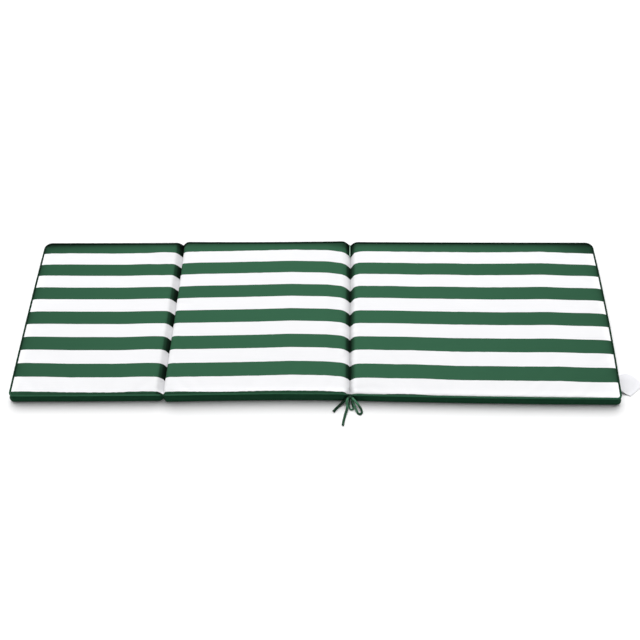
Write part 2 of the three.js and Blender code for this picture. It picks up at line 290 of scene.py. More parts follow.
def catmull_rom(points, samples):
    """Points along the centripetal curve through the given ones, with its ends mirrored."""
    p = np.vstack([2 * points[0] - points[1], points, 2 * points[-1] - points[-2]])
    leg = np.diff(p, axis=0)
    span = np.linalg.norm(leg, axis=1)[:, None] ** 0.5
    slope = leg / span
    speed = slope[:-1] + slope[1:] - (leg[:-1] + leg[1:]) / (span[:-1] + span[1:])
    u = np.linspace(0, 1, samples, endpoint=False)[:, None]
    rise = 3 * u**2 - 2 * u**3
    shares = np.hstack([1 - rise, u**3 - 2 * u**2 + u, rise, u**3 - u**2])
    parts = zip(p[1:-2], speed[:-1] * span[1:-1], p[2:-1], speed[1:] * span[1:-1])
    return np.vstack([*(shares @ np.stack(part) for part in parts), p[-2:-1]])


# Mesh helpers
def mesh_object(name, points, faces, materials):
    mesh = bpy.data.meshes.new(name)
    mesh.from_pydata([tuple(p) for p in np.asarray(points, float)], [], [tuple(f) for f in faces])
    for material in materials:
        mesh.materials.append(material)
    mesh.polygons.foreach_set("use_smooth", np.full(len(mesh.polygons), True))
    mesh.update()
    made = bpy.data.objects.new(name, mesh)
    bpy.context.scene.collection.objects.link(made)
    return made


def set_uv(obj, values_by_corner):
    layer = obj.data.uv_layers.new(name="cloth")
    layer.data.foreach_set("uv", np.asarray(values_by_corner, np.float32).ravel())


def set_layer(obj, name, values):
    layer = obj.data.attributes.new(name, "FLOAT", "POINT")
    layer.data.foreach_set("value", np.asarray(values, np.float32).ravel())


def grid_quads(grid, flip=False):
    """The four corners of each cell of a grid of vertex numbers or places; flip turns them over."""
    a, b, c, d = grid[:-1, :-1], grid[1:, :-1], grid[1:, 1:], grid[:-1, 1:]
    corners = np.stack((a, d, c, b) if flip else (a, b, c, d), 2)
    return corners.reshape(-1, *corners.shape[2:])


def wrapped(grid):
    """The grid with its first column again at the end."""
    return np.hstack([grid, grid[:, :1]])


def edge_of(grid):
    """A grid's values round its edge, anticlockwise from the front left corner."""
    return np.concatenate([grid[:-1, 0], grid[-1, :-1], grid[:0:-1, -1], grid[0, :0:-1]])


def shell_faces(shape, rings=0):
    """The quads of a top and a bottom grid, and the grid of vertex numbers of the wall between."""
    top = np.arange(shape[0] * shape[1]).reshape(shape)
    bottom = top + top.size
    round_edge = len(edge_of(top))
    between = 2 * top.size + np.arange(rings * round_edge).reshape(rings, round_edge)
    wall = wrapped(np.vstack([edge_of(bottom), between, edge_of(top)]))
    return np.vstack([grid_quads(top), grid_quads(bottom, flip=True)]), wall


def fan(centre, ring):
    """Triangles from a centre to a closed ring of vertex numbers."""
    return np.stack([np.full(len(ring), centre), ring, np.roll(ring, -1)], -1)


def frames_along(points, closed):
    """Unit vectors sideways and upwards at each point of a line, without sudden turns."""
    ahead = np.gradient(points, axis=0)
    if closed:
        ahead = np.roll(points, -1, 0) - np.roll(points, 1, 0)
    ahead /= np.linalg.norm(ahead, axis=1)[:, None]
    side = np.cross(ahead, (0, 0, 1))
    if not closed:
        for k, direction in enumerate(ahead):
            before = side[max(k - 1, 0)]
            side[k] = before - direction * (before @ direction)
            side[k] /= np.linalg.norm(side[k])
    side /= np.linalg.norm(side, axis=1)[:, None]
    return side, np.cross(side, ahead)


def tube(name, points, radius, sides, material, shape, closed=False):
    """A tube round a line. shape(turn, s) is the share of the radius at a turn and a distance."""
    side, up = frames_along(points, closed)
    s, turn = distances(points), turns(sides)
    spokes = np.cos(turn)[:, None] * side[:, None] + np.sin(turn)[:, None] * up[:, None]
    share = shape(turn, s[:, None])[..., None]
    vertices = (points[:, None] + radius * share * spokes).reshape(-1, 3)
    index = np.arange(len(vertices)).reshape(-1, sides)
    if closed:
        s = np.append(s, s[-1] + np.linalg.norm(points[0] - points[-1]))
        index = np.vstack([index, index[:1]])
    faces = list(grid_quads(wrapped(index), flip=True))
    girth = np.arange(sides + 1) / sides * 2 * math.pi * radius
    unrolled = np.stack(np.broadcast_arrays(s[:, None], girth), -1)
    uv = [grid_quads(unrolled, flip=True).reshape(-1, 2)]
    if not closed:
        first, end = len(vertices), len(vertices) + 1
        vertices = np.vstack([vertices, points[0], points[-1]])
        faces += [*fan(first, index[0][::-1]), *fan(end, index[-1])]
        disc = np.vstack([radius * np.stack([np.cos(turn), np.sin(turn)], -1), (0, 0)])
        for around in (np.arange(sides)[::-1], np.arange(sides)):
            uv.append(disc[fan(sides, around)].reshape(-1, 2))
    made = mesh_object(name, vertices, faces, [material])
    set_uv(made, np.concatenate(uv))
    return made


# Ties, their routes in mm
TIE_RADIUS = 3 * MM
BACK_TIE_RADIUS = 2.8 * MM
BOW = {
    "tie_tail_left": [
        (104, -296.5, 22.2), (98, -300.5, 20.6), (91.5, -304.5, 17.5), (85, -308, 13),
        (77, -313.5, 7.5), (66.5, -323.5, 4.2), (55, -337, 3.3),
    ],
    "tie_tail_front": [
        (106, -297, 26.3), (101, -302, 28.6), (97.5, -308.5, 26.5), (96.5, -313.5, 21.5),
        (97.5, -319, 15.5), (98, -324.5, 10.5), (96, -333, 6.5), (92.5, -345, 4),
        (87.5, -365, 3.3), (84, -384.5, 3.3),
    ],
    "tie_loop_right": [
        (110.5, -298, 27), (114.3, -304, 30), (121.5, -311, 26.5), (129.5, -318, 19.5),
        (136.5, -325, 12.5), (142, -333, 7), (142.8, -340.5, 3.6), (137.5, -345, 3.3),
        (131.5, -342, 3.3), (127, -334, 5.5), (123, -327.5, 10), (119.5, -321, 15),
        (116, -314, 19.5), (113, -308, 23), (110, -299, 22.7),
    ],
    "tie_loop_middle": [
        (105, -299.5, 17.6), (104.7, -304.5, 14.8), (104.2, -311.5, 10.5), (104.4, -319.5, 6),
        (107, -326.5, 3.5), (112, -329.8, 3.3), (115.8, -326.5, 3.3), (115.4, -319.5, 4),
        (113.7, -312.5, 7.5), (112, -306, 11.7), (111.3, -300.5, 16),
    ],
}
BACK_TIE = [
    (111.2, 302.5, 11), (111.2, 305.5, 15), (111.2, 306.5, 22), (111.2, 304, 28.9),
    (111.1, 298.5, 31.1), (111, 291.5, 30), (110.9, 280, 28.5), (110.8, 267, 28.5),
    (110.7, 254, 29),
]
TIE_SIDES, ROUTE_SAMPLES, TIE_STEP = 20, 24, 1.2 * MM
# A tie's seam groove, its creases along the run, and its radius as a share of the full one
GROOVE_DEPTH, GROOVE_AT, GROOVE_WIDTH = 0.14, 1.2, 0.2
CREASE_DEPTH, CREASE_PITCH, CREASE_DRIFT = 0.02, 4.3 * MM, 13 * MM
TIE_FULLNESS = 0.98
# How much wider than high each tie lies
TIE_SPREAD = {
    "tie_tail_left": 0.45, "tie_tail_front": 0.36, "tie_loop_right": 0.2, "tie_loop_middle": -0.2,
}
BACK_TIE_SPREAD = -0.38
# How pale the ties are on top, from wear and a painted highlight
TIE_WEAR_AND_HIGHLIGHT, BACK_TIE_WEAR_AND_HIGHLIGHT = 0.08, 0.55
# Painted shade and painted light along each tie: mm from its start, and share of the colour
TIE_SHADE = {
    "tie_tail_left": [(0, 0.1), (45, 0.15), (68, 0.2)],
    "tie_tail_front": [(0, 0.15), (7, 0.15), (12, 0.95), (36, 0.95), (46, 0.3), (101, 0.3)],
    "tie_loop_right": [
        (0, 0.15), (6, 0.15), (9, 1.1), (30, 1.1), (42, 0.3), (80, 0.3), (86, 0.8), (105, 0.8),
        (115, 0.4),
    ],
    "tie_loop_middle": [
        (0, 0.2), (8, 0.35), (24, 0.5), (32, 0.75), (44, 0.75), (50, 0.45), (60, 0.3), (73, 0.25),
    ],
    "tie_back": [(0, 0.4), (25, 0.9), (35, 1.5), (60, 1.5), (70, 1)],
}


def tie_shape(spread):
    """A rolled and sewn strip: somewhat flat, with a shallow groove along its seam."""

    def shape(turn, s):
        groove = 1 - GROOVE_DEPTH * bell(turn - GROOVE_AT, GROOVE_WIDTH)
        crease = 1 + CREASE_DEPTH * np.sin(s / CREASE_PITCH + 2 * np.sin(s / CREASE_DRIFT))
        return TIE_FULLNESS * groove * crease * (1 + spread * np.cos(turn) ** 2)

    return shape


def make_tie(node, route, radius, spread, worn_and_highlit):
    line = catmull_rom(np.array(route) * MM, ROUTE_SAMPLES)
    length = distances(line)[-1]
    line = along_line(line, np.linspace(0, length, int(length / TIE_STEP)))
    length = float(distances(line)[-1])
    made = tube(node + "_cloth", line, radius, TIE_SIDES, TIE, tie_shape(spread))
    # Painted shade and painted light along the tie
    share = read(TIE_SHADE[node], np.linspace(0, length / MM, len(line)))
    set_layer(made, "shade", np.append(np.repeat(share, TIE_SIDES), share[[0, -1]]))
    # Paleness from wear and a painted highlight, stronger where the tie is painted lighter
    top = np.sin(turns(TIE_SIDES)) ** 2 * share[:, None] * worn_and_highlit
    set_layer(made, "worn_and_highlit", np.append(top, [0, 0]))
    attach(made, "root")
    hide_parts(node)


for tie_name, tie_route in BOW.items():
    make_tie(tie_name, tie_route, TIE_RADIUS, TIE_SPREAD[tie_name], TIE_WEAR_AND_HIGHLIGHT)
make_tie("tie_back", BACK_TIE, BACK_TIE_RADIUS, BACK_TIE_SPREAD, BACK_TIE_WEAR_AND_HIGHLIGHT)

KNOT_CENTRE = np.array((108, -297.7, 23.5))
KNOT_RADII = np.array((6.5, 5.6, 6.6))
KNOT_TURNS, KNOT_RINGS = 72, 40
# The knot's bands: direction that each band goes round, half width, and how far it stands out
KNOT_BANDS = [
    ((1, 0.12, 0), 0.44, 0.2), ((0.5, -0.3, 0.8), 0.4, 0.11), ((0.6, 0.5, -0.6), 0.3, 0.07),
]
KNOT_BODY = 0.8
# Painted shade over the whole knot, lighter on its raised bands, and their paleness from wear and a
# painted highlight
KNOT_SHADE, KNOT_WEAR_AND_HIGHLIGHT = 0.2, 0.2


def make_knot():
    """The bow's knot: a ball of cord with bands drawn tight round it."""
    polar = np.linspace(0, math.pi, KNOT_RINGS + 1)[1:-1, None]
    turn = turns(KNOT_TURNS)
    ball = [np.cos(polar) + 0 * turn, np.sin(polar) * np.cos(turn), np.sin(polar) * np.sin(turn)]
    ball = np.vstack([np.stack(ball, -1).reshape(-1, 3), (1, 0, 0), (-1, 0, 0)])
    raised = np.zeros(len(ball))
    for axis, half, height in KNOT_BANDS:
        off = ball @ (np.array(axis) / np.linalg.norm(axis)) / half
        raised = np.maximum(raised, height * np.sqrt(np.clip(1 - off * off, 0, 1)))
    size = KNOT_BODY + raised
    points = (KNOT_CENTRE + ball * KNOT_RADII * size[:, None]) * MM
    index = np.arange(len(ball) - 2).reshape(-1, KNOT_TURNS)
    ends = [*fan(len(ball) - 2, index[0]), *fan(len(ball) - 1, index[-1][::-1])]
    faces = [*grid_quads(wrapped(index), flip=True), *ends]
    made = mesh_object("tie_knot_cloth", points, faces, [TIE])
    flat = points[:, :2] + points[:, 2:]
    set_uv(made, np.concatenate([flat[f] for f in faces]))
    # Painted shade, lighter where the bands stand out, and wear with a painted highlight on the
    # bands
    set_layer(made, "shade", KNOT_SHADE * size)
    set_layer(made, "worn_and_highlit", KNOT_WEAR_AND_HIGHLIGHT * raised)
    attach(made, "root")
    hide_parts("tie_knot")


make_knot()


# Shape of the cushion, in mm
HALF_WIDTH = 300
FRONT_CORNER_R, BACK_CORNER_R = 12, 22
# Ends and channels: x and y at the back, x and y at the front, bow, and bend near the back edge
CROSS_LINES = [
    (-938.5, 295.2, -949.3, -307.3, -2, 0), (-462.5, 298.5, -475.5, -302, 4, -2.5),
    (114, 303.8, 106.5, -298.3, -1, -2), (941.5, 303.8, 940, -308.5, 5.8, 0),
]
BEND_FROM = 0.93
# The middle section's front edge steps forward beside the first channel: step, and share of the run
FRONT_STEP, FRONT_STEP_RUN = 3.8, 0.6
# Each section's length, height of the top seam, rise of the crown, and bow at the back and front
SECTIONS = [(472, 42, 13, -0.5, 0.5), (582, 47, 15, -2.5, -1.9), (832, 42, 17, -0.7, 2.6)]
CHANNEL_COUNT = len(SECTIONS) - 1
# At each end of the channels: the top seam's height, how far it is drawn in, and how far the pinch
# reaches to the left and to the right
CHANNEL_ENDS = {
    "back": [(29, 0.5, 21, 22), (26, 4, 29, 25)],
    "front": [(31, 5, 20, 12), (22, 10, 25, 18)],
}
# Rise of a channel's banks above its floor: distance from the seam line, and share of the depth
BANK_RISE = [
    {
        "left": [
            (0, 0), (1.5, 0.03), (4.6, 0.22), (8, 0.39), (11.2, 0.56), (14.5, 0.69), (17.8, 0.8),
            (21, 0.9), (24.4, 0.97), (30, 1),
        ],
        "right": [(0, 0), (2, 0.55), (5.3, 0.79), (8.6, 0.88), (12, 0.94), (16, 0.97), (22, 1)],
    },
    {
        "left": [
            (0, 0), (3.3, 0.11), (6.6, 0.25), (10, 0.36), (13, 0.46), (16.5, 0.57), (20, 0.65),
            (26, 0.755), (33, 0.825), (40, 0.86), (48, 0.89), (56, 0.92), (66, 0.96), (78, 1),
        ],
        "right": [
            (0, 0), (3.3, 0.14), (6.6, 0.37), (10, 0.61), (13, 0.74), (16.5, 0.84), (20, 0.88),
            (23, 0.92), (27, 0.97), (33, 1),
        ],
    },
]
# How deep each channel lies below the padding, from the front edge to the back edge
CHANNEL_DEPTH = [
    [
        (-300, 25), (-243, 24.5), (-192, 23), (-93, 24.5), (6, 26), (106, 28), (156, 30),
        (205, 28.5), (256, 31), (300, 31),
    ],
    [
        (-300, 24), (-192, 23.5), (-143, 26), (-93, 28), (-43, 29), (6, 31.5), (57, 33.5),
        (106, 34.5), (156, 35.5), (206, 36), (256, 37), (300, 37),
    ],
]
# The right bank of the second channel rises sooner towards the front
SOONER = [(-60, 0.6), (60, 1)]
# The narrow slot at a channel's seam line, where both banks are stitched down
SLOT_DEPTH, SLOT_REACH, SLOT_FADE = 1.5, 1.5, 6
# Patches where the filling lies higher or lower than the even crown: section, x, y, height, and
# reach in x and y
LUMPS = [
    (1, 75, 190, -3, 60, 110), (2, 128, 240, -2, 28, 90), (2, 865, 40, 3, 70, 120),
    (1, -445, 130, -3.5, 45, 140), (0, -525, 265, 4, 40, 35), (0, -530, -130, 2, 45, 110),
    (2, 150, -190, 2.2, 80, 90), (2, 850, -150, 2.5, 70, 100),
]
# Crown: reach of the rolled edge, its share of the rise, power of the broad rise, and its run from
# the two ends; then the strip in which a channel's banks blend into the seam
EDGE_ROLL, ROLL_SHARE, CROWN_POWER, END_SLOPE, BLEND = 30, 0.32, 2, 220, 20
# Underside: reach and lift of its edge, and lift and reach of the notch under a channel
UNDER_ROLL, UNDER_SEAM, NOTCH_LIFT, NOTCH_REACH = 8, 1.2, 6, 12
# Where the pinch beside a channel starts, and how fast its draw fades
PINCH_START, DRAW_POWER = 2, 1.4
FAR, TINY = 1e9, 1e-9

LINES = np.array(CROSS_LINES, float)
PARTS = np.array(SECTIONS, float)


def pinch_rise(d, reach):
    """Rise of the top seam beside a channel: steep at the channel, level at the pinch's reach."""
    return np.sin(math.pi / 2 * ratio(d - PINCH_START, reach - PINCH_START))


def crown_share(d, run):
    """Rise of the crown away from an edge: a rolled part and a broad part."""
    rolled = np.sqrt(1 - (1 - ratio(d, EDGE_ROLL)) ** 2)
    broad = 1 - (1 - ratio(d, run)) ** CROWN_POWER
    return ROLL_SHARE * rolled + (1 - ROLL_SHARE) * broad


def channel_facts(section, along):
    """For places in the sections: has a channel near, its number, on which side, and how far."""
    length = PARTS[section, 0]
    on_right = along > length / 2
    number = np.where(on_right, section, section - 1)
    there = (number >= 0) & (number < CHANNEL_COUNT)
    distance = np.where(on_right, length - along, along)
    return there, np.clip(number, 0, CHANNEL_COUNT - 1), on_right, distance


def pinch(section, along, end):
    """The nearest channel's back or front end: seam height, draw, reach, and share at a place."""
    there, number, on_right, distance = channel_facts(section, along)
    ends = np.array(CHANNEL_ENDS[end], float)[number]
    seam, draw, left, right = np.moveaxis(ends, -1, 0)
    reach = np.where(on_right, left, right)
    return seam, draw, reach, np.where(there, 1 - pinch_rise(distance, reach), 0)


def pinch_by_side(section, along, across):
    back, front = pinch(section, along, "back"), pinch(section, along, "front")
    return [np.where(across > 0, b, f) for b, f in zip(back, front)]


def from_end(section, along):
    """Distance from the cushion's left or right end, for places in an end section."""
    right = PARTS[-1, 0] - along
    return np.where(section == 0, along, np.where(section == CHANNEL_COUNT, right, FAR))


def plan_point(section, along, across, inset):
    """x and y of a place in a section, drawn in by an inset all round the cushion."""
    length = PARTS[section, 0]
    low = np.where(section == 0, inset, 0)
    high = length - np.where(section == CHANNEL_COUNT, inset, 0)
    along = mixed(low, high, along / length)
    y = across * (1 - inset / HALF_WIDTH)
    corner = np.where(across > 0, BACK_CORNER_R, FRONT_CORNER_R)
    endward = corner - from_end(section, along)
    edgeward = np.abs(y) - (HALF_WIDTH - corner)
    rounded = (endward > 0) & (edgeward > 0)
    far = np.maximum(np.hypot(endward, edgeward), TINY)
    shrink = np.where(rounded, np.maximum(endward, edgeward) / far, 1)
    along = along + np.where(section == 0, 1, -1) * np.where(rounded, endward, 0) * (1 - shrink)
    y = y - np.sign(y) * np.where(rounded, edgeward, 0) * (1 - shrink)
    u = along / length
    v = (y / HALF_WIDTH + 1) / 2

    def line_x(k):
        x_back, _, x_front, _, bow, bend = np.moveaxis(LINES[k], -1, 0)
        bent = bend * smooth_step(v, BEND_FROM, 1)
        return mixed(x_front, x_back, v) + bow * 4 * v * (1 - v) + bent

    _, draw_back, _, share_back = pinch(section, along, "back")
    _, draw_front, _, share_front = pinch(section, along, "front")
    bowed = 4 * u * (1 - u)
    left, right = LINES[section], LINES[section + 1]
    y_back = mixed(left[..., 1], right[..., 1], u) + bowed * PARTS[section, 3]
    y_back = y_back - draw_back * share_back**DRAW_POWER
    y_front = mixed(left[..., 3], right[..., 3], u) - bowed * PARTS[section, 4]
    y_front = y_front + draw_front * share_front**DRAW_POWER
    step = FRONT_STEP * (1 - ratio(u, FRONT_STEP_RUN)) * (1 - share_front)
    y_front = y_front - np.where(section == 1, step, 0)
    return mixed(line_x(section), line_x(section + 1), u), mixed(y_front, y_back, v)


def seam_height(section, along, across):
    seam, _, _, share = pinch_by_side(section, along, across)
    return mixed(PARTS[section, 1], seam, share)


def seam_stretch(section, along, across):
    """How much longer the sloping top seam is than its plan."""
    seam, _, reach, share = pinch_by_side(section, along, across)
    _, _, _, distance = channel_facts(section, along)
    run = reach - PINCH_START
    quarter = math.pi / 2 / run
    slope = (PARTS[section, 1] - seam) * quarter * np.cos(quarter * (distance - PINCH_START))
    return np.where((share > 0) & (distance > PINCH_START), np.hypot(1, slope), 1)


def top_height(section, along, across):
    """Height of the top panel: the crown, and the channels sunk into it."""
    inward = HALF_WIDTH - np.abs(across)
    share = crown_share(inward, HALF_WIDTH) * crown_share(from_end(section, along), END_SLOPE)
    full = PARTS[section, 1] + PARTS[section, 2] * share
    there, number, on_right, distance = channel_facts(section, along)
    seam, _, reach, _ = pinch_by_side(section, along, across)
    deep = smooth_step(inward, 0, BLEND)
    both = (PARTS[number] + PARTS[number + 1]) / 2
    depth = np.where(number == 0, *(read(table, across) for table in CHANNEL_DEPTH))
    floor = mixed(seam, both[..., 1] + both[..., 2] * share - depth, deep)
    bank = at_distance(BANK_RISE, number, on_right, distance)
    sooner = (number == 1) & ~on_right
    bank = np.where(sooner, bank ** read(SOONER, across), bank)
    rise = mixed(pinch_rise(distance, reach), bank, deep)
    slot = SLOT_DEPTH * bell(distance, SLOT_REACH) * ratio(inward, SLOT_FADE)
    return np.where(there, mixed(floor, full, rise) - slot, full)


def under_height(section, along, across):
    """Height of the underside, which lifts a little at its edge and under the channels."""
    inward = np.minimum(HALF_WIDTH - np.abs(across), from_end(section, along))
    rim = UNDER_SEAM * (1 - ratio(inward, UNDER_ROLL)) ** 2
    there, _, _, distance = channel_facts(section, along)
    notch = NOTCH_LIFT * (0.5 + 0.5 * np.cos(math.pi * ratio(distance, NOTCH_REACH)))
    return rim + np.where(there, notch, 0)


# Steps of the fine grid away from a seam, then an even step
NEAR_STEPS = [1.5, 3.2, 5.2, 7.6, 10.5, 14, 18, 22.5, 27.5, 33]
GRID_STEP = 6.4

# How far in from the piping's line: the underside's edge, the boxing's wall by share of the height
# up to the lip, the lip by distance below the seam, and the top panel's edge
BOTTOM_INSET, TOP_INSET, LIP_DROP = 1.5, 3.0, 4.6
WALL = [
    (-0.1, 0.07), (-1.2, 0.17), (-1.9, 0.3), (-2.2, 0.46), (-2.1, 0.64), (-1.6, 0.82), (-0.9, 1.0),
]
LIP = [(0.2, 3.3), (2.0, 2.7), (2.8, 1.4)]
# Unevenness of the boxing: small puckers below the seam, and slow waves half way up
BOXING_PUCKER, BOXING_WAVE = 0.25, 0.6
# The two front corners swell endwards under the piping: distance by share of the height, run along
# the front edge, and where towards the front the swell sets in and is full
CORNER_SWELL = [
    (0, 5), (0.07, 6.6), (0.17, 7.2), (0.32, 6.5), (0.5, 4.5), (0.7, 2.2), (0.88, 0.7), (1, 0),
]
CORNER_SWELL_RUN, CORNER_SWELL_FROM = 55, (266, 290)


def spaced(length):
    """Distances along a stretch between two seams: close to a seam in fine steps, else even."""
    start, end = NEAR_STEPS[-1], length - NEAR_STEPS[-1]
    middle = np.linspace(start, end, round((end - start) / GRID_STEP) + 1)[1:-1]
    return np.concatenate([[0], NEAR_STEPS, middle, (length - np.array(NEAR_STEPS))[::-1]])


def grid_columns():
    sections, alongs = [], []
    for number, (length, *_) in enumerate(SECTIONS):
        steps = spaced(length)
        sections += [number] * len(steps)
        alongs += list(steps)
    return np.array([*sections, len(SECTIONS) - 1]), np.array([*alongs, SECTIONS[-1][0]], float)


COLUMN_SECTION, COLUMN_ALONG = grid_columns()
ROWS = np.append(spaced(2 * HALF_WIDTH), 2 * HALF_WIDTH) - HALF_WIDTH


# Section, place along it and place across the cushion, for the whole grid and for its edge
GRID = np.broadcast_arrays(COLUMN_SECTION[:, None], COLUMN_ALONG[:, None], ROWS)
RIM = [edge_of(places) for places in GRID]


# Where the first green strip ends on the cloth, and the stripes' repeat, along the length
STRIPE_X = [-835, -769, -704, -639, -574, -377, -280, -183, -85, 12, 272, 434, 596, 758, 854]
STRIPE_Y = [
    250.4, 248.8, 248.6, 249.3, 251.4, 254.7, 256.8, 259.9, 263.4, 262.4,
    258.8, 257.2, 256.6, 259.9, 256.5,
]
PERIOD_X = [-900, -480, -470, 100, 115, 300, 434, 600, 758, 900]
PERIOD_Y = [98.7, 98.9, 99.8, 99.9, 101.0, 100.7, 101.4, 101.7, 102.4, 102.4]
# How much later the last white stripe ends at the front, as a share of the repeat, and where on the
# stripes this sets in
EASE_X = [
    -790, -730, -668, -606, -575, -544, -497, -448, -403, -358, -312, -265, -172, -80, 13, 75, 137,
    261, 417, 573, 729, 822,
]
EASE_Y = [
    0.02, 0.0145, 0.0145, 0.018, 0.004, -0.003, 0.004, -0.0065, -0.0065, 0.0075, 0.015, 0.0215,
    0.018, 0.035, 0.025, 0.039, 0.025, 0.011, 0.032, 0.032, 0.0215, 0.011,
]
EASE_SPAN = (5.2, 5.6)
# The stripes lie further back close to the ends: by distance from the end, and share across them
END_RISE = [(0, 4), (20, 3.3), (40, 2.5), (60, 1.6), (80, 0.9), (110, 0)]
END_RISE_SHARE = [(0, 0), (0.4, 0.3), (1, 1), (4.6, 1), (5.6, 0.35)]
# Places in the green, for the strip behind the first white stripe and for the boxing
GREEN_STRIP, GREEN_BOXING = -0.35, -0.3


def stripe_place(x, y, end):
    """Place across the stripes: each repeat starts with white and ends with green."""
    first = np.interp(x, STRIPE_X, STRIPE_Y)
    period = np.interp(x, PERIOD_X, PERIOD_Y)
    first = first + read(END_RISE_SHARE, (first - y) / period) * read(END_RISE, end)
    place = np.maximum((first - y) / period, GREEN_STRIP)
    return place - np.interp(x, EASE_X, EASE_Y) * smooth_step(place, *EASE_SPAN)


def draw_waves(count, seed, shortest, longest):
    """Phases, directions and lengths of a few waves, for gentle unevenness."""
    made = np.random.default_rng(seed)
    angle = made.uniform(0, math.pi, count)
    phase = made.uniform(0, 2 * math.pi, count)
    return phase, np.cos(angle), np.sin(angle), made.uniform(shortest, longest, count)


def unevenness(x, y, waves):
    total = np.zeros_like(x)
    for phase, ax, ay, length in zip(*waves):
        total += np.sin(2 * math.pi * (x * ax + y * ay) / length + phase)
    return total / math.sqrt(len(waves[0]))


BROAD_WAVES = draw_waves(9, 11, 120, 330)
PUCKER_WAVES = draw_waves(12, 12, 11, 26)


# Painted shade on the green where the cloth is drawn down to the piping: distance from the seam,
# and share of colour; then its strength behind, along the length, and at the other edges
EDGE_SHADE = [(0, 0.3), (4, 0.45), (8, 0.6), (12, 0.7), (16, 0.82), (20, 0.88), (30, 0.96), (45, 1)]
EDGE_STRENGTH = [
    (-950, 2), (-880, 2), (-610, 1.3), (-210, 0.9), (340, 1.5), (735, 1.6), (950, 1.6),
]
SIDE_STRENGTH = 0.45
# Painted shade: the back stripe is darker towards its two corners: share by distance from the end,
# and its reach from the back edge
CORNER_SHADE = {
    "left": [(0, 0.82), (30, 0.87), (60, 0.92), (140, 0.96), (240, 1)],
    "right": [(0, 0.58), (20, 0.6), (40, 0.65), (70, 0.76), (135, 0.96), (200, 1)],
}
CORNER_SHADE_DEPTH = (48, 60)
# Painted shade: all the green is a little darker towards the two ends
END_PAINTED_SHADE, END_PAINTED_SHADE_AT = 0.21, 950
# Painted shade on the green beside a channel: distance from the seam line, and share of colour
FOLD_SHADE = [
    {
        "left": [
            (0, 0.04), (1.5, 0.06), (5, 0.1), (11, 0.18), (14.5, 0.42), (18, 0.42), (20, 0.6),
            (22.5, 0.92), (25, 1),
        ],
        "right": [(0, 0.04), (1.5, 0.15), (2.5, 0.3), (4, 0.8), (7, 1)],
    },
    {
        "left": [
            (0, 0.04), (1.5, 0.1), (4, 0.12), (7.5, 0.25), (10.5, 0.28), (14, 0.65), (17.5, 0.97),
            (21, 1),
        ],
        "right": [
            (0, 0.04), (1.5, 0.12), (3, 0.16), (6, 0.5), (9, 0.5), (12.5, 0.7), (16, 0.97), (20, 1),
        ],
    },
]
# Painted shadow along the seam line and painted light on the white beside a channel: distance from
# the seam line, and share of colour
FOLD_LIGHT_AND_SHADE = [
    {
        "left": [(0, 0.5), (1.5, 0.85), (18, 0.9), (21, 0.97), (24, 1.03), (32, 1)],
        "right": [(0, 0.5), (1.5, 0.95), (3, 1), (5, 1.05), (10, 1)],
    },
    {
        "left": [
            (0, 0.4), (1.5, 0.7), (4, 0.82), (8, 0.9), (12, 1.02), (16, 1.07), (28, 1.05), (45, 1),
        ],
        "right": [(0, 0.4), (1.5, 0.72), (4, 0.9), (8, 1.06), (12, 1.1), (16, 1.08), (24, 1)],
    },
]
# Painted light on the white along the rim, less so in the left section, and not beside a channel
RIM_PAINTED_LIGHT, LIFT_REACH, LEFT_LIFT_SHARE, RIM_FADE = 0.2, 16, 0.6, 35
# More painted light on the white at a channel's front end: gain, reach from the front edge and the
# channel
MOUTH_PAINTED_LIGHT, MOUTH_DEPTH, MOUTH_REACH = 0.14, 35, 6


def at_distance(tables, number, on_right, distance):
    """Values of per-channel tables that run with the distance from the seam line."""
    first, second = (
        np.where(on_right, read(t["left"], distance), read(t["right"], distance)) for t in tables
    )
    return np.where(number == 0, first, second)


def cloth_shade(x, section, along, across):
    """Shares of colour: painted shade where the cloth is drawn down, painted light on the white."""
    inward, end = HALF_WIDTH - np.abs(across), from_end(section, along)
    strength = read(EDGE_STRENGTH, x)
    behind = read(EDGE_SHADE, inward) ** strength
    beside = read(EDGE_SHADE, np.minimum(inward, end)) ** SIDE_STRENGTH
    there, number, on_right, distance = channel_facts(section, along)
    fold = at_distance(FOLD_SHADE, number, on_right, distance)
    green = np.where(across > 0, np.minimum(behind, beside), beside) * np.where(there, fold, 1)
    near = np.where(across > 0, end, np.minimum(inward, end))
    corner = np.where(section == 0, *(read(CORNER_SHADE[key], end) for key in ("left", "right")))
    corner = mixed(corner, 1, smooth_step(inward, *CORNER_SHADE_DEPTH))
    green = green * np.where(across > 0, corner, 1) * (1 - END_PAINTED_SHADE * (x / END_PAINTED_SHADE_AT) ** 2)
    rim_share = np.where(section == 0, LEFT_LIFT_SHARE, 1)
    rim_share = rim_share * np.where(there, 1 - bell(distance, RIM_FADE), 1)
    lift = 1 + RIM_PAINTED_LIGHT * bell(near, LIFT_REACH) * rim_share
    mouth = bell(HALF_WIDTH + across, MOUTH_DEPTH) * bell(distance, MOUTH_REACH)
    fold_light_and_shade = at_distance(FOLD_LIGHT_AND_SHADE, number, on_right, distance) * (1 + MOUTH_PAINTED_LIGHT * mouth)
    return green, lift * np.where(there, fold_light_and_shade, 1)


# Unevenness of the top: its height, the distance from a seam where it is strongest, and its end
PUCKER_HEIGHT, PUCKER_AT, PUCKER_END = 0.45, 5, 60
CREASE_HEIGHT, CREASE_AT, CREASE_END, CREASE_PHASE = 0.7, 8, 90, 3000
BROAD_HEIGHT = 0.5
# Distances over which it fades out towards a seam
BROAD_FADE, LUMP_FADE, CREASE_FADE, CHANNEL_FADE = 60, 30, 12, 20


def crest(d, at):
    """Rises to 1 at a distance from a seam and dies away beyond it."""
    return d / at * np.exp(1 - d / at)


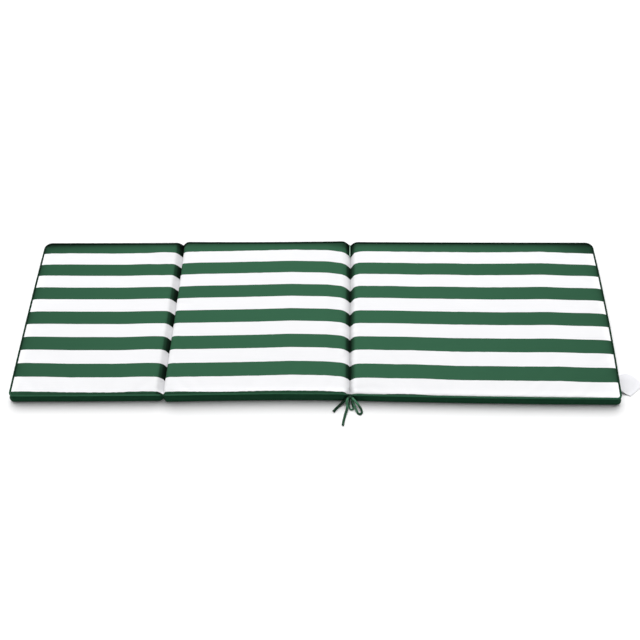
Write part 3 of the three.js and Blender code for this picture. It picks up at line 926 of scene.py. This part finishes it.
def top_detail(x, y, section, along, across):
    """Puckers at the seams and slight unevenness of the filling, in mm."""
    inward = HALF_WIDTH - np.abs(across)
    edge = np.minimum(inward, from_end(section, along))
    there, _, _, distance = channel_facts(section, along)
    near_channel = np.where(there, distance, FAR)
    beside_channel = ratio(near_channel, CHANNEL_FADE)
    total = 0 * x
    for own, at_x, at_y, height, reach_x, reach_y in LUMPS:
        lump = height * bell(x - at_x, reach_x) * bell(y - at_y, reach_y)
        total = total + lump * (section == own) * beside_channel
    total = total * ratio(inward, LUMP_FADE)
    inner = ratio(np.minimum(edge, near_channel), BROAD_FADE)
    broad = BROAD_HEIGHT * unevenness(x, y, BROAD_WAVES) * inner
    along_edge = unevenness(np.where(edge == inward, x, y), 0 * x, PUCKER_WAVES)
    pucker = PUCKER_HEIGHT * along_edge * crest(edge, PUCKER_AT) * (edge < PUCKER_END)
    along_channel = unevenness(y + CREASE_PHASE, 0 * x, PUCKER_WAVES)
    crease = CREASE_HEIGHT * along_channel * crest(near_channel, CREASE_AT)
    crease = crease * ratio(inward, CREASE_FADE) * (near_channel < CREASE_END)
    return total + broad + pucker * beside_channel + crease


# The cloth simulation, and the wrinkles kept of it: reach below which they count as small, share,
# and greatest height
PRESSURE, EXCESS_CLOTH, CLOTH_FRAMES, CLOTH_QUALITY = 4.0, -0.02, 10, 4
WRINKLE_REACH, WRINKLE_SHARE, WRINKLE_CAP = 45, 0.3, 0.7


def averaging(places, groups, reach):
    """Weights that average a value over the neighbours in its own group."""
    apart = (places[:, None] - places[None, :]) / reach
    weights = np.exp(-apart * apart) * np.gradient(places) * (groups[:, None] == groups[None, :])
    return weights / weights.sum(1, keepdims=True)


def blown_heights(points):
    """How far the top panel rises when it is pinned at its seams and filled, in mm."""
    columns, rows = points.shape[:2]
    index = np.arange(columns * rows).reshape(columns, rows)
    trial = mesh_object("trial_panel", points.reshape(-1, 3) * MM, grid_quads(index), [])
    sewn = index[1:][np.diff(COLUMN_SECTION) > 0]
    seams = np.concatenate([index[0], index[-1], index[:, 0], index[:, -1], sewn.ravel()])
    group = trial.vertex_groups.new(name="seams")
    group.add([int(i) for i in seams], 1.0, "REPLACE")
    cloth = trial.modifiers.new("cloth", "CLOTH").settings
    cloth.vertex_group_mass = "seams"
    cloth.quality = CLOTH_QUALITY
    cloth.use_pressure = True
    cloth.uniform_pressure_force = PRESSURE
    cloth.shrink_min = EXCESS_CLOTH
    cloth.effector_weights.gravity = 0
    scene = bpy.context.scene
    for number in range(1, CLOTH_FRAMES + 1):
        scene.frame_set(number)
    shaped = trial.evaluated_get(bpy.context.evaluated_depsgraph_get()).to_mesh()
    places = np.empty(columns * rows * 3, np.float32)
    shaped.vertices.foreach_get("co", places)
    mesh = trial.data
    bpy.data.objects.remove(trial)
    bpy.data.meshes.remove(mesh)
    scene.frame_set(1)
    return places.reshape(columns, rows, 3)[..., 2] / MM - points[..., 2]


def wrinkles(points, section, along, across):
    """The small wrinkles that a filled cover gets at its seams, without its broad swell."""
    blown = blown_heights(points)
    starts = np.cumsum([0] + [length for length, *_ in SECTIONS])
    x_average = averaging(starts[COLUMN_SECTION] + COLUMN_ALONG, COLUMN_SECTION, WRINKLE_REACH)
    y_average = averaging(ROWS, 0 * ROWS, WRINKLE_REACH)
    at_side = blown - x_average @ blown
    at_end = blown - blown @ y_average.T
    there, _, _, distance = channel_facts(section, along)
    to_end = np.minimum(from_end(section, along), np.where(there, distance, FAR)) ** 2 + 1
    to_side = (HALF_WIDTH - np.abs(across)) ** 2 + 1
    small = (at_side * to_end + at_end * to_side) / (to_end + to_side)
    return WRINKLE_CAP * np.tanh(small * WRINKLE_SHARE / WRINKLE_CAP)


def corner_swell(section, along, across, share):
    """How far x moves endwards at the two front corners, at a share of the boxing's height."""
    along_end = 1 - smooth_step(from_end(section, along), 0, CORNER_SWELL_RUN)
    across_end = smooth_step(-across, *CORNER_SWELL_FROM)
    reach = read(CORNER_SWELL, share) * along_end * across_end
    return np.where(section == 0, -reach, reach)


def top_points():
    """The top panel's points, with its puckers and its simulated wrinkles."""
    x, y = plan_point(*GRID, TOP_INSET)
    z = top_height(*GRID) + top_detail(x, y, *GRID)
    z = z + wrinkles(np.stack([x, y, z], -1), *GRID)
    return np.stack([x, y, z], -1)


def bottom_points():
    x, y = plan_point(*GRID, BOTTOM_INSET)
    return np.stack([x + corner_swell(*GRID, 0), y, under_height(*GRID)], -1)


def boxing_rings():
    """Rings of points round the boxing, from the underside's edge to the top panel's."""
    seam, under = seam_height(*RIM), under_height(*RIM)
    stretch = seam_stretch(*RIM)
    round_x, round_y = plan_point(*RIM, 0)
    wavy = unevenness(round_x + round_y, 0 * round_x, PUCKER_WAVES)
    slow = unevenness(round_x, round_y, BROAD_WAVES)
    rings = []
    for inset, share in WALL:
        wave = BOXING_WAVE * slow * 4 * share * (1 - share)
        x, y = plan_point(*RIM, inset + BOXING_PUCKER * wavy * share + wave)
        x = x + corner_swell(*RIM, share)
        rings.append(np.stack([x, y, mixed(under, seam - LIP_DROP * stretch, share)], -1))
    for inset, drop in LIP:
        rings.append(np.stack([*plan_point(*RIM, inset), seam - drop * stretch], -1))
    return rings


def cover_arrays():
    """Vertices, faces, cloth coordinates, point layers and material numbers of the closed cover."""
    top, bottom, rings = top_points(), bottom_points(), boxing_rings()
    vertices = np.vstack([top.reshape(-1, 3), bottom.reshape(-1, 3), *rings])
    panels, wall = shell_faces(top.shape[:2], len(rings))
    faces = np.vstack([panels, grid_quads(wall, flip=True)])

    seam = np.stack(plan_point(*RIM, 0), -1)
    perimeter = distances(np.vstack([seam, seam[:1]]))
    wall_uv = np.stack(np.broadcast_arrays(perimeter, vertices[wall][..., 2]), -1)
    uv = np.vstack([vertices[panels][..., :2], grid_quads(wall_uv, flip=True)]) * MM

    section, along, _ = GRID
    # Painted shade on the green and painted light on the white
    green, white = cloth_shade(top[..., 0], *GRID)
    place = stripe_place(top[..., 0], top[..., 1], from_end(section, along))
    layers = {"stripe": (place, GREEN_BOXING), "shade": (green, 1), "lift": (white, 1)}
    for name, (values, elsewhere) in layers.items():
        layers[name] = np.append(values, np.full(len(vertices) - values.size, elsewhere))
    material = np.arange(len(faces)) >= len(panels) // 2
    return vertices * MM, faces, uv, layers, material


def make_cushion():
    vertices, faces, uv, layers, material = cover_arrays()
    made = mesh_object("cushion_cover", vertices, faces, [STRIPED, SHADED_GREEN])
    set_uv(made, uv)
    for name, values in layers.items():
        set_layer(made, name, values)
    made.data.polygons.foreach_set("material_index", material.astype(np.int32))
    made.data.update()
    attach(made, "root")
    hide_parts("cushion")


make_cushion()


# Piping
PIPING_RADIUS, PIPING_SIDES = 3, 16
# Slight unevenness of the cord: share of the radius, pitch, and how its pitch drifts
CORD_UNEVEN, CORD_PITCH, CORD_DRIFT = 0.02, 3.1 * MM, 41 * MM
# A painted highlight runs along the piping's outer side: share away from it, gain, where round
# the cord, and its width
PIPING_BASE, PIPING_HIGHLIGHT, PIPING_HIGHLIGHT_AT, PIPING_HIGHLIGHT_WIDTH = 0.75, 1.0, 0.5, 0.42
# Painted shade on the piping where it dips into a channel: share lost, and reach in mm
PIPING_DIP_SHADE, PIPING_DIP_SHADE_REACH = 0.6, 9
# Painted shade on the piping, from the front edge to the back edge
PIPING_SHADE = [(-300, 1.05), (-290, 0.8), (-275, 0.45), (275, 0.35), (295, 0.25)]


def piping_shape(turn, s):
    return 1 + CORD_UNEVEN * np.sin(s / CORD_PITCH + 3 * np.sin(s / CORD_DRIFT)) + 0 * turn


def make_piping():
    section, along, _ = RIM
    x, y = plan_point(*RIM, 0)
    line = np.stack([x, y, seam_height(*RIM)], -1) * MM
    radius = PIPING_RADIUS * MM
    made = tube("piping_cord", line, radius, PIPING_SIDES, PIPING, piping_shape, closed=True)
    there, _, _, distance = channel_facts(section, along)
    # Painted shade, darker towards the back and where the piping dips into a channel, and a painted
    # highlight round its outer side
    dip_shade = PIPING_DIP_SHADE * bell(distance, PIPING_DIP_SHADE_REACH)
    share = read(PIPING_SHADE, y) * np.where(there, 1 - dip_shade, 1)
    away = np.angle(np.exp(1j * (turns(PIPING_SIDES) - PIPING_HIGHLIGHT_AT)))
    highlight_gain = PIPING_BASE + PIPING_HIGHLIGHT * bell(away, PIPING_HIGHLIGHT_WIDTH)
    set_layer(made, "shade", share[:, None] * highlight_gain)
    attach(made, "root")
    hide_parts("piping")


make_piping()


# Channel stitches
STITCH_PITCH, STITCH_LENGTH, STITCH_RADIUS, STITCH_SINK = 4.2, 3.0, 0.4, 0.15
STITCH_SIDES, STITCH_ENDS = 8, 291
# Radius along a stitch: place along it and share, thin where it enters the cloth
STITCH_FORM = [(-0.5, 0.25), (-0.4, 0.75), (-0.2, 1), (0, 1), (0.2, 1), (0.4, 0.75), (0.5, 0.25)]


def seam_line(number, under):
    """Points of a channel's line of stitches on the top or on the underside, 1 mm apart."""
    across = np.arange(-STITCH_ENDS, STITCH_ENDS + 1, 1.0)
    section, along = np.full(len(across), number), 0 * across
    x, y = plan_point(section, along, across, BOTTOM_INSET if under else TOP_INSET)
    if under:
        z = under_height(section, along, across) + STITCH_SINK
    else:
        z = top_height(section, along, across) + top_detail(x, y, section, along, across)
        z = z - STITCH_SINK
    return np.stack([x, y, z], -1)


def make_stitches():
    places, shares = np.array(STITCH_FORM).T
    turn = turns(STITCH_SIDES)
    ring = np.stack([np.cos(turn), 0 * turn, np.sin(turn)], -1)
    form = ring[None] * (shares * STITCH_RADIUS)[:, None, None]
    index = np.arange(len(places) * STITCH_SIDES).reshape(-1, STITCH_SIDES)
    pattern = [*grid_quads(wrapped(index)), index[0], index[-1][::-1]]
    stitches, faces, uv = [], [], []
    for number in range(1, len(SECTIONS)):
        for under in (False, True):
            line = seam_line(number, under)
            for middle in np.arange(STITCH_PITCH / 2, distances(line)[-1], STITCH_PITCH):
                centre = along_line(line, middle + places * STITCH_LENGTH)
                points = (centre[:, None] + form).reshape(-1, 3)
                faces += [face + len(stitches) * index.size for face in pattern]
                uv += [points[face][:, 1:] for face in pattern]
                stitches.append(points)
    made = mesh_object("channel_stitches", np.vstack(stitches) * MM, faces, [THREAD])
    set_uv(made, np.concatenate(uv) * MM)
    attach(made, "root")


make_stitches()


# Label
LABEL_FLAT = (0.06, 0.08)
LABEL_CELLS = (120, 60)
# Front and back corner at the seam and at the far end, the point that the back edge bends through,
# and how far the front edge hangs
LABEL_ROOT = np.array([(943.5, -261.5, 26), (945.0, -222, 26)])
LABEL_FAR = np.array([(984.5, -276, 2.2), (1030, -237.5, 2)])
LABEL_BEND, LABEL_HANG = np.array((990, -202, 10)), 12
# Half the thickness, and the relief of the hem, the woven edges and the hem's line of stitches:
# height, place as a share of the label, and width of each
LABEL_HALF = 0.35
HEM_RISE, HEM_AT, HEM_WIDTH = 0.2, 0.88, 0.015
EDGE_RISE, EDGE_AT, EDGE_WIDTH = 0.1, 0.04, 0.025
SEWN_SINK, SEWN_AT, SEWN_WIDTH = 0.25, 0.9, 0.008
RIPPLE, RIPPLE_ACROSS, RIPPLE_ALONG = 0.35, 9, 2


def make_label():
    bend = 2 * LABEL_BEND - (LABEL_ROOT[1] + LABEL_FAR[1]) / 2
    hang = (LABEL_ROOT[0] + LABEL_FAR[0]) / 2 - (0, 0, LABEL_HANG)
    u, v = (np.linspace(0, 1, cells + 1) for cells in LABEL_CELLS)
    u, v = np.meshgrid(u, v, indexing="ij")
    t = u[..., None]
    edges = [
        root * (1 - t) ** 2 + 2 * middle * t * (1 - t) + far * t**2
        for root, middle, far in zip(LABEL_ROOT, (hang, bend), LABEL_FAR)
    ]
    surface = mixed(*edges, v[..., None])
    hem = HEM_RISE * smooth_step(u, HEM_AT, HEM_AT + HEM_WIDTH)
    woven = EDGE_RISE * (bell(v - EDGE_AT, EDGE_WIDTH) + bell(v - 1 + EDGE_AT, EDGE_WIDTH))
    half = LABEL_HALF + hem + woven - SEWN_SINK * bell(u - SEWN_AT, SEWN_WIDTH)
    ripple = RIPPLE * np.sin(RIPPLE_ACROSS * v + RIPPLE_ALONG * u) * u
    upper = surface + (half + ripple)[..., None] * (0, 0, 1)
    lower = surface - (half - ripple)[..., None] * (0, 0, 1)
    panels, wall = shell_faces(u.shape)
    faces = np.vstack([panels, grid_quads(wall, flip=True)])
    vertices = np.vstack([upper.reshape(-1, 3), lower.reshape(-1, 3)]) * MM
    made = mesh_object("label_tape", vertices, faces, [TAPE])
    flat = np.tile(np.stack([u * LABEL_FLAT[1], v * LABEL_FLAT[0]], -1).reshape(-1, 2), (2, 1))
    set_uv(made, flat[faces.ravel()])
    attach(made, "root")
    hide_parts("care_label")
    return made


label = make_label()


# Floor and light
STAGE_SIDE, BACKDROP_HEIGHT, BACKDROP_SIDES = 30.0, 30.0, 48
FLOOR_COLOUR, BACKDROP_COLOUR, WHITE = (0.86, 0.86, 0.865, 1), (0, 0, 0, 1), (1, 1, 1, 1)
# Own light of the floor, faint for the shadow's pale tone, and of the backdrop and the world
FLOOR_GLOW, BACKDROP_GLOW, WORLD_LIGHT = 0.04, 1.0, 0.14
SUN_POWER, SUN_ANGLE, SUN_TILT, SUN_TURN = 3.85, math.radians(64), math.radians(24), math.radians(8)


def stage_piece(name, points, faces, base, roughness, glow):
    material, _, shader = new_material("pale_" + name, roughness, 0.0)
    set_inputs(shader, {"Base Color": base, "Emission Color": WHITE, "Emission Strength": glow})
    return mesh_object(name, points, faces, [material])


def make_stage():
    side, count, turn = STAGE_SIDE, BACKDROP_SIDES, turns(BACKDROP_SIDES)
    corners = [(-side, -side, 0), (side, -side, 0), (side, side, 0), (-side, side, 0)]
    floor = stage_piece("floor", corners, [(0, 1, 2, 3)], FLOOR_COLOUR, 1.0, FLOOR_GLOW)
    ring = np.stack([side * np.cos(turn), side * np.sin(turn), 0 * turn], -1)
    wall = np.vstack([ring - (0, 0, 1), ring + (0, 0, BACKDROP_HEIGHT)])
    faces = [(k, k + count, (k + 1) % count + count, (k + 1) % count) for k in range(count)]
    backdrop = stage_piece("backdrop", wall, faces, BACKDROP_COLOUR, 0.5, BACKDROP_GLOW)
    backdrop.visible_diffuse = backdrop.visible_glossy = backdrop.visible_shadow = False
    world = bpy.data.worlds.new("studio")
    world.use_nodes = True
    set_inputs(world.node_tree.nodes["Background"], {"Color": WHITE, "Strength": WORLD_LIGHT})
    bpy.context.scene.world = world
    sun = bpy.data.lights.new("softbox", "SUN")
    sun.energy, sun.angle = SUN_POWER, SUN_ANGLE
    lamp = bpy.data.objects.new("softbox", sun)
    bpy.context.scene.collection.objects.link(lamp)
    flat = math.sin(SUN_TILT)
    towards = Vector((-flat * math.sin(SUN_TURN), flat * math.cos(SUN_TURN), math.cos(SUN_TILT)))
    lamp.rotation_mode = "QUATERNION"
    lamp.rotation_quaternion = towards.to_track_quat("Z", "Y")


make_stage()
bpy.context.scene.view_settings.view_transform = "Standard"
bpy.context.scene.view_settings.look = "None"
